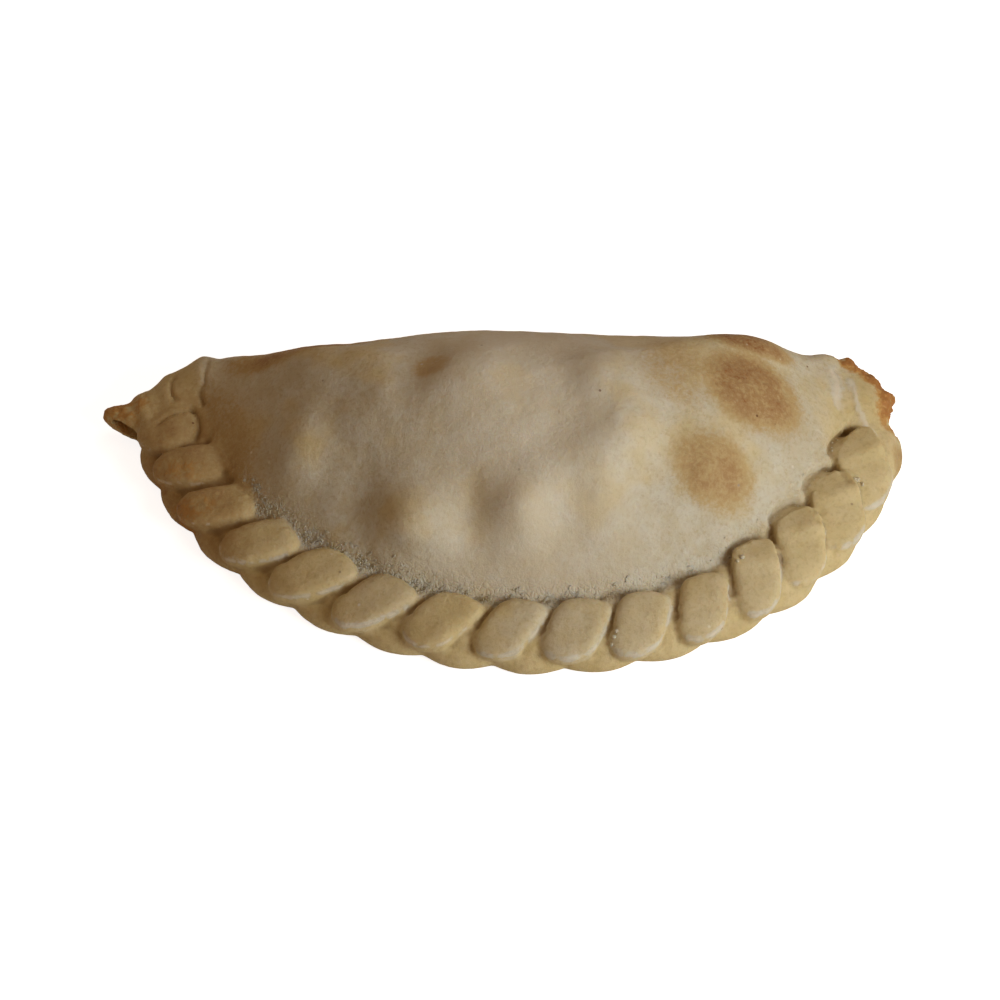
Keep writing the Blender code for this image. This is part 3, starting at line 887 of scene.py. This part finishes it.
def shape_skin(mesh, folds):
    """Adds the skin's relief. Returns what the skin's looks follow, as a value for each point."""
    points, normals = read_points(mesh)
    above = interpolate(points[:, 2], *OFF_TRAY)
    facing_up = interpolate(normals[:, 2], *FACING_UP)
    seam = seam_weight(points)
    crack = cracks(points, SEAM_CRACK)
    relief = np.zeros(len(points))
    for spacing, height in SKIN_WAVES:
        relief += height * waves(points, spacing, 2)
    relief += SEAM_DEPTH * seam * (crack * SEAM_RISE - SEAM_SINK)

    covered = np.stack((on_folds(points, folds), shoulders(points, folds)), axis=1).astype(float)
    for _ in range(FOLD_EDGE_PASSES):
        covered = neighbour_means(mesh, covered)
    fold, shoulder = (covered * interpolate(points[:, 2], *FOLD_SIDES)[:, None]).T
    relief += FOLD_RISE * fold * facing_up
    relief -= seats(points, folds) * (1.0 - fold) * facing_up
    points[:, 2] -= np.maximum(points[:, 2] - SEAT_TOP, 0.0) * fold
    points[:, 2] += np.maximum(SEAT_TOP - points[:, 2], 0.0) * shoulder
    spacing, shake = CREVICE_SHAKE
    crevice = crevices(points + shake * waves(points, spacing, 2)[:, None], folds)
    relief -= CREVICE_DEPTH * crevice * facing_up
    # The folds' edges on their lit side stand up a little, and are painted pale later: rubbed flour
    # and a painted highlight.
    worn_and_lit = worn_and_lit_edges(points, folds) * interpolate(waves(points, WORN_LIT_PATCH, 2), *WORN_LIT_GAPS)
    relief += WORN_LIT_HEIGHT * worn_and_lit

    for x, y, height, long, wide in SMALL_LUMPS:
        relief += height * np.exp(-apart(points, x, y, long, wide)) * facing_up
    stretched = np.zeros(len(points))
    spacing, shake = LINE_SHAKE
    shaken = points[:, :2] + shake * waves(points, spacing)[:, None]
    for line, height, half_width in LINES:
        share = line_share(shaken, line, half_width) * facing_up
        relief += height * share
        if height > 0:
            stretched = np.maximum(stretched, share)
    singed = [strength * line_share(shaken, line, wide) for line, wide, strength in SINGED_LINES]
    singed = np.max(singed, axis=0)
    singed *= SINGED_LEAST + SINGED_MORE * interpolate(crack, *SINGED_CRACK)
    relief += SINGED_CRUMBLE * singed * (waves(points, SINGED_CRUMB, 3) + SINGED_CRAGS * crack)
    points += normals * (relief * above)[:, None]
    mesh.vertices.foreach_set("co", points.astype(np.float32).ravel())
    mesh.update()
    return above, seam, crack, fold, crevice, worn_and_lit, stretched, singed


def give_skin(mesh, folds):
    """Adds the skin's relief, and notes where it browned, kept flour or tore, and where painted
    shade and a painted highlight go.
    """
    above, seam, crack, fold, crevice, worn_and_lit, stretched, singed = shape_skin(mesh, folds)
    points, normals = read_points(mesh)
    # Painted shade: the dough's colour is darkened in its hollows and crevices.
    crease_shade = np.zeros(len(points))
    for passes, shallow, deep, strength in HOLLOW_SHADE:
        crease_shade += interpolate(hollowness(mesh, points, normals, passes), shallow, deep) * strength
    crease_shade = crease_shade * (1.0 - SEAM_PALER * np.minimum(seam, 1.0)) + CREVICE_DARKER * crevice

    # Browning, and painted shade on the left end and its neck.
    browned = np.zeros(len(points))
    for x, y, long, wide, strength in BROWNED_AND_SHADED:
        away = np.sqrt(apart(points, x, y, long, wide))
        browned = np.maximum(browned, strength * interpolate(away, *BROWNED_AND_SHADED_FADE))
    underside = interpolate(normals[:, 2], *FACING_DOWN) * UNDERSIDE_BROWNED

    angle, radius = polar(points)
    middle = np.exp(-(((points[:, 0] - DUST_MIDDLE) / DUST_HALF_WIDTH) ** 2))
    dusted = (DUST_LEAST + DUST_MORE * middle) * np.maximum(interpolate(radius, *DUST_REACH), fold)
    dusted *= 1.0 - (1.0 - DUST_ON_FOLDS) * fold
    torn = seam * (1.0 - fold) * (1.0 - SEAM_CALM * interpolate(angle, *SEAM_CALMS))
    tears = torn * (TORN_FLOUR + TORN_FLOUR_MORE * crack)
    # The flour also carries the painted highlight on the folds' lit edges.
    flour = np.max((tears, dusted, stretched, worn_and_lit), axis=0)
    looks = {
        # Browning, with painted shade on the left end and its neck.
        "browned": np.maximum(browned * above, underside),
        "flour": flour * above,
        "crease_shade": crease_shade * above,
        "singed": singed * above,
        "torn": torn * above,
    }
    for name, values in looks.items():
        note(mesh, name, values)


def ground_at(ground, x, y):
    """The skin's point over that place, and which way it faces."""
    place, facing, _, _ = ground.ray_cast(Vector((x, y, ABOVE_ALL)), Vector((0, 0, -1)))
    return place, facing


def add_flake(form, ground, x, y, turn, bend, length, width, lift):
    """A strip of skin, rooted along one side and at both ends, that curls up along the other."""
    rings = []
    heading = turn - bend / 2
    for step in range(FLAKE_STEPS):
        share = step / (FLAKE_STEPS - 1)
        run = Vector((math.cos(math.radians(heading)), math.sin(math.radians(heading))))
        side = Vector((-run.y, run.x)) * width / 2
        raised = lift * (1 - (2 * share - 1) ** 2)
        ring = []
        for across, height in ((-side, -FLAKE_ROOT), (side, raised)):
            place, facing = ground_at(ground, x + across.x, y + across.y)
            if place is None:
                return
            half = facing * FLAKE_THICKNESS / 2
            ring += [place + facing * height - half, place + facing * height + half]
        rings.append([form.verts.new(ring[i]) for i in (0, 1, 3, 2)])
        x += run.x * length / (FLAKE_STEPS - 1)
        y += run.y * length / (FLAKE_STEPS - 1)
        heading += bend / (FLAKE_STEPS - 1)
    for ring, following in zip(rings[:-1], rings[1:]):
        for i in range(4):
            form.faces.new((ring[i], ring[i - 3], following[i - 3], following[i]))
    form.faces.new(rings[0][::-1])
    form.faces.new(rings[-1])


def add_crumb(form, ground, x, y, radius, draw):
    place, _ = ground_at(ground, x, y)
    made = bmesh.ops.create_icosphere(form, subdivisions=1, radius=radius)
    for vert in made["verts"]:
        vert.co = vert.co * draw.uniform(*CRUMB_ROUGHNESS) + place


def seam_places(count, last, folds, draw):
    """(angle, place) in the seam up to that angle, more often on the left, and not on a fold."""
    angles = [draw.uniform(FLAKES_FROM, last) for _ in range(SPARE_PLACES * count)]
    left_out = [FEWER * interpolate(angle, FEWER_FROM, FEWER_TO) for angle in angles]
    angles = [angle for angle, share in zip(angles, left_out) if draw.random() > share]
    places = [
        on_disc(angle, seam_radius(angle) + draw.triangular(*FLAKE_PLACES)) for angle in angles
    ]
    covered = on_folds(np.array(places), folds)
    return [found[:2] for found in zip(angles, places, covered) if not found[2]][:count]


def seam_flakes(skin, folds):
    """The flakes and crumbs of the seam, and the nubs on the folds, lying on that skin."""
    ground = BVHTree.FromObject(skin, bpy.context.evaluated_depsgraph_get())
    draw = random.Random(SEED)
    form = bmesh.new()
    for angle, place in seam_places(FLAKES, FLAKES_TO, folds, draw):
        turn = angle + 90 + draw.gauss(0, FLAKE_ASKEW)
        sizes = [draw.uniform(*limits) for limits in (FLAKE_LENGTH, FLAKE_WIDTH, FLAKE_LIFT)]
        bend = draw.uniform(-FLAKE_BEND, FLAKE_BEND)
        add_flake(form, ground, place.x, place.y, turn, bend, *sizes)
    for _, place in seam_places(CRUMBS, CRUMBS_TO, folds, draw):
        add_crumb(form, ground, place.x, place.y, draw.uniform(*CRUMB_RADIUS), draw)
    for x, y, radius in NUBS:
        add_crumb(form, ground, x, y, radius, draw)
    made = object_from(form, "seam_flakes")
    for name in ("flour", "torn"):
        note(made.data, name, np.full(len(made.data.vertices), FLAKE_FLOUR))
    return made


def stand_on_solid(pieces):
    """Moves the pieces to the solid's place and turns their millimetres to metres."""
    placed = Matrix.Scale(MILLIMETRE, 4) @ Matrix.Translation(DISC_CENTRE)
    for piece in pieces:
        piece.data.transform(placed)


# --- Finishes ---


def srgb(code):
    """The linear colour of an sRGB hex value."""
    shares = [int(code[i : i + 2], 16) / 255 for i in (1, 3, 5)]
    return [s / 12.92 if s <= 0.04045 else ((s + 0.055) / 1.055) ** 2.4 for s in shares] + [1.0]


def add(tree, kind, inputs=(), **settings):
    """Adds a node with its settings and links.

    Its inputs go by their names, or in the order in which the node shows them. Each is a number, a
    colour, another node's output, or another node, whose first output is meant.
    """
    made = tree.nodes.new(kind)
    for name, value in settings.items():
        setattr(made, name, value)
    shown = [socket for socket in made.inputs if socket.enabled]
    if not isinstance(inputs, dict):
        inputs = dict(enumerate(inputs))
    for name, value in inputs.items():
        socket = made.inputs[name] if isinstance(name, str) else shown[name]
        if isinstance(value, bpy.types.Node):
            value = next(output for output in value.outputs if output.enabled)
        if isinstance(value, bpy.types.NodeSocket):
            tree.links.new(value, socket)
        else:
            socket.default_value = value
    return made


def per(size):
    """The texture scale at which one wave is that many millimetres."""
    return 1.0 / (size * MILLIMETRE)


SMOOTH = {"interpolation_type": "SMOOTHSTEP"}
COLOURS = {"data_type": "RGBA"}
COLOUR_MIXED = 2  # the output of a mix of colours, which has outputs of the same name for numbers
TIMES = {"operation": "MULTIPLY"}


def new_finish(name, constants):
    """A new material with those constants on its shader, and its tree and shader."""
    material = bpy.data.materials.new(name)
    material.use_nodes = True
    shader = material.node_tree.nodes["Principled BSDF"]
    for socket, value in constants.items():
        shader.inputs[socket].default_value = value
    return material, material.node_tree, shader


def baked_dough():
    """Wheat dough baked dry on a tray, without egg wash.

    It stays matt and pale where it is thick, browns to gold and then tan where it swelled up or
    is thin, and keeps the flour it was rolled in as a greyish dust in its tears. Light goes a
    little way into it, so its shadows turn warm. Painted shade darkens its creases and its left
    end, and a painted highlight lines the folds' lit edges.
    """
    constants = {
        "IOR": 1.45,
        "Specular IOR Level": 0.35,
        "Subsurface Weight": 0.25,
        "Subsurface Radius": (1.0, 0.55, 0.25),
        "Subsurface Scale": 1.5 * MILLIMETRE,
    }
    material, tree, shader = new_finish("baked_dough", constants)
    place = add(tree, "ShaderNodeTexCoord").outputs["Object"]
    browned, flour, crease_shade, singed, torn = (
        add(tree, "ShaderNodeAttribute", attribute_name=name).outputs["Fac"]
        for name in ("browned", "flour", "crease_shade", "singed", "torn")
    )
    # Slow clouds, patches, and the grain of baked dough, whose coarsest pores are under a
    # millimetre: the size from wave to wave, the detail and the roughness.
    clouds, mottle, grain = (
        add(
            tree,
            "ShaderNodeTexNoise",
            {"Vector": place, "Scale": per(size), "Detail": detail, "Roughness": roughness},
        )
        for size, detail, roughness in ((14, 3.0, 0.5), (4.5, 4.0, 0.6), (0.8, 5.0, 0.75))
    )

    patches = add(tree, "ShaderNodeMapRange", (mottle, 0.35, 0.65), **SMOOTH)
    dry = add(tree, "ShaderNodeMix", (patches, srgb("#CBB683"), srgb("#D2BE8F")), **COLOURS)
    dusted = add(tree, "ShaderNodeMix", (patches, srgb("#C8BDA3"), srgb("#CFC8B5")), **COLOURS)
    cloudy = add(tree, "ShaderNodeMapRange", (clouds, 0.35, 0.6, 0.4, 1.6), **SMOOTH)
    # The flour attribute also carries the painted highlight on the folds' lit edges.
    dust = add(tree, "ShaderNodeMath", (flour, cloudy), **TIMES)
    dusty = add(tree, "ShaderNodeMapRange", (dust, 0.0, 0.7), **SMOOTH)
    colour = add(tree, "ShaderNodeMix", (dusty, dry, dusted), **COLOURS)

    # The oven's heat took unevenly: more in some patches and grains than in others.
    patchy = add(tree, "ShaderNodeMapRange", (mottle, 0.3, 0.7, -0.25, 0.25), **SMOOTH)
    grainy = add(tree, "ShaderNodeMapRange", (grain, 0.3, 0.7, -0.35, 0.35), **SMOOTH)
    uneven = add(tree, "ShaderNodeMath", (patchy, grainy), operation="ADD")
    toasted_and_shaded, singed = (
        add(tree, "ShaderNodeMath", (uneven, heat, heat), operation="MULTIPLY_ADD")
        for heat in (browned, singed)
    )
    # Each 3.2 mm may hold a speck of bran, or a pale grit, about 0.4 mm wide.
    specks = {"Vector": place, "Scale": per(3.2), "Randomness": 1.0}
    specks = add(tree, "ShaderNodeTexVoronoi", specks)
    chosen = add(tree, "ShaderNodeSeparateColor", (specks.outputs["Color"],)).outputs
    # Each coat of colour lies over those before it. What it follows is turned, from between two
    # values, to a share of 0 to 1 or of the two numbers after them. Two such shares are multiplied.
    coats = (
        ("#B09660", (clouds, 0.5, 0.75, 0.0, 0.25)),  # drier dough
        ("#A89062", (grain, 0.45, 0.7, 0.0, 0.4)),  # pores
        # Gold, tan and brown browning, which also carry painted shade on the left end and its neck.
        ("#B99D6C", (toasted_and_shaded, 0.0, 0.5)),  # gold, then tan, then brown
        ("#A58053", (toasted_and_shaded, 0.4, 0.95)),
        ("#8E5B2F", (toasted_and_shaded, 0.9, 1.4)),
        ("#BE9153", (singed, 0.1, 0.6)),  # edges that were singed, more orange
        ("#AA743C", (singed, 0.6, 1.1)),
        # Painted shade in hollows, creases and crevices.
        ("#8A6B40", (crease_shade, 0.1, 1.2, 0.0, 0.7)),  # closed creases
        # Flour in tears, and the painted highlight on the folds' lit edges.
        ("#DACDB6", (flour, 0.55, 1.1, 0.0, 0.8), (grain, 0.3, 0.6, 0.5, 1.0)),  # flour in tears
        ("#6B4423", (specks, 0.085, 0.05), (chosen[0], 0.72, 1.0, 0.0, 0.9)),  # bran
        ("#E2DAC6", (specks, 0.11, 0.04), (chosen[1], 0.7, 1.0, 0.0, 0.8)),  # grits
    )
    for coat, *followed in coats:
        share = 1.0
        for limits in followed:
            reached = add(tree, "ShaderNodeMapRange", limits, **SMOOTH)
            share = add(tree, "ShaderNodeMath", (share, reached), **TIMES)
        colour = add(tree, "ShaderNodeMix", (share, colour, srgb(coat)), **COLOURS)
    tree.links.new(colour.outputs[COLOUR_MIXED], shader.inputs["Base Color"])

    # Browned dough shines a little more, and flour dulls it.
    baked = add(tree, "ShaderNodeMapRange", (browned, 0.0, 1.0, 0.6, 0.48), **SMOOTH)
    rough = add(tree, "ShaderNodeMath", (flour, 0.2, baked), operation="MULTIPLY_ADD")
    tree.links.new(rough.outputs[0], shader.inputs["Roughness"])

    # Torn dough wrinkles round crumbs of 0.8 mm, whose pattern is bent by up to half a millimetre.
    drift = add(tree, "ShaderNodeTexNoise", {"Vector": place, "Scale": per(1.6), "Detail": 3.0})
    farthest = (0.9 * MILLIMETRE,) * 3
    drift = add(tree, "ShaderNodeVectorMath", (drift.outputs["Color"], farthest), **TIMES)
    bent = add(tree, "ShaderNodeVectorMath", (place, drift))
    crumbs = {"Vector": bent, "Scale": per(0.8)}
    wrinkles = add(tree, "ShaderNodeTexVoronoi", crumbs, feature="DISTANCE_TO_EDGE")
    wrinkled = add(tree, "ShaderNodeMapRange", (wrinkles, 0.0, 0.25, 0.0, 0.4), **SMOOTH)
    height = add(tree, "ShaderNodeMath", (grain, 0.6), **TIMES)
    height = add(tree, "ShaderNodeMath", (mottle, 0.8, height), operation="MULTIPLY_ADD")
    height = add(tree, "ShaderNodeMath", (torn, wrinkled, height), operation="MULTIPLY_ADD")
    relief = {"Height": height, "Strength": 0.8, "Distance": 0.35 * MILLIMETRE}
    bump = add(tree, "ShaderNodeBump", relief)
    tree.links.new(bump.outputs["Normal"], shader.inputs["Normal"])
    return material


def white_table():
    """Matt white laminate, lit so brightly that the camera sees it as white."""
    constants = {
        "Base Color": srgb("#EDECEA"),
        "Roughness": 0.8,
        "Emission Color": srgb("#FFFFFF"),
    }
    material, tree, shader = new_finish("white_table", constants)
    seen = add(tree, "ShaderNodeLightPath").outputs["Is Camera Ray"]
    glow = add(tree, "ShaderNodeMath", (seen, 0.85), **TIMES)
    tree.links.new(glow.outputs[0], shader.inputs["Emission Strength"])
    return material


# --- The picture ---

VIEW_DISTANCE = 0.6
VIEW_RISE = 48.0  # degrees above the table
VIEW_TARGET = Vector((-0.314, -2.27, 10.0)) * MILLIMETRE
VIEW_LENS = 132.75
SENSOR = 36.0
# Degrees from +X and above the table, metres away, the two sides in metres, watts, and colour.
LIGHTS = {
    "window": (-35, 25, 0.45, (0.26, 0.22), 1.33, "#F8FEFF"),
    "lamp": (60, 45, 0.6, (0.40, 0.30), 0.42, "#FFFFFF"),
}
ROOM_COLOUR, ROOM_STRENGTH = "#FFD5AA", 0.23
TABLE_HALF_WIDTH = 1.5


def aim(thing, place, target):
    thing.location = place
    thing.rotation_euler = (target - place).to_track_quat("-Z", "Y").to_euler()


def from_around(turn, rise, distance):
    """The place seen from the target at that turn from +X, rise and distance."""
    turn, rise = math.radians(turn), math.radians(rise)
    flat = math.cos(rise)
    direction = Vector((flat * math.cos(turn), flat * math.sin(turn), math.sin(rise)))
    return VIEW_TARGET + direction * distance


def set_camera():
    data = bpy.data.cameras.new("camera")
    data.sensor_width = SENSOR
    data.lens = VIEW_LENS
    camera = put("camera", data)
    aim(camera, from_around(-90, VIEW_RISE, VIEW_DISTANCE), VIEW_TARGET)
    bpy.context.scene.camera = camera


def set_light(name, turn, rise, distance, size, power_watts, colour):
    data = bpy.data.lights.new(name, "AREA")
    data.shape = "RECTANGLE"
    data.size, data.size_y = size
    data.energy = power_watts
    data.color = srgb(colour)[:3]
    aim(put(name, data), from_around(turn, rise, distance), VIEW_TARGET)


def set_table():
    form = bmesh.new()
    bmesh.ops.create_grid(form, x_segments=1, y_segments=1, size=TABLE_HALF_WIDTH)
    table = object_from(form, "table")
    table.data.materials.append(white_table())


def set_room():
    world = bpy.data.worlds.new("room")
    bpy.context.scene.world = world
    world.use_nodes = True
    background = world.node_tree.nodes["Background"]
    background.inputs["Color"].default_value = srgb(ROOM_COLOUR)
    background.inputs["Strength"].default_value = ROOM_STRENGTH
    bpy.context.scene.view_settings.view_transform = "Standard"


draw = random.Random(SEED)
folds = [fold_shape(number, draw) for number in range(1, FOLD_COUNT + 1)]
crust = fused_dough(folds, draw)
crust.name = crust.data.name = "empanada_crust"
press(crust.data)
give_skin(crust.data, folds)
flakes = seam_flakes(crust, folds)
stand_on_solid([crust, flakes])
dough = baked_dough()
for piece in (crust, flakes):
    piece.data.materials.append(dough)
    piece.data.shade_smooth()
    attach(piece, "root")
crust.data.set_sharp_from_angle(angle=math.radians(SHARP_ANGLE))
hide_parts("empanada")

set_camera()
for name, light in LIGHTS.items():
    set_light(name, *light)
set_table()
set_room()
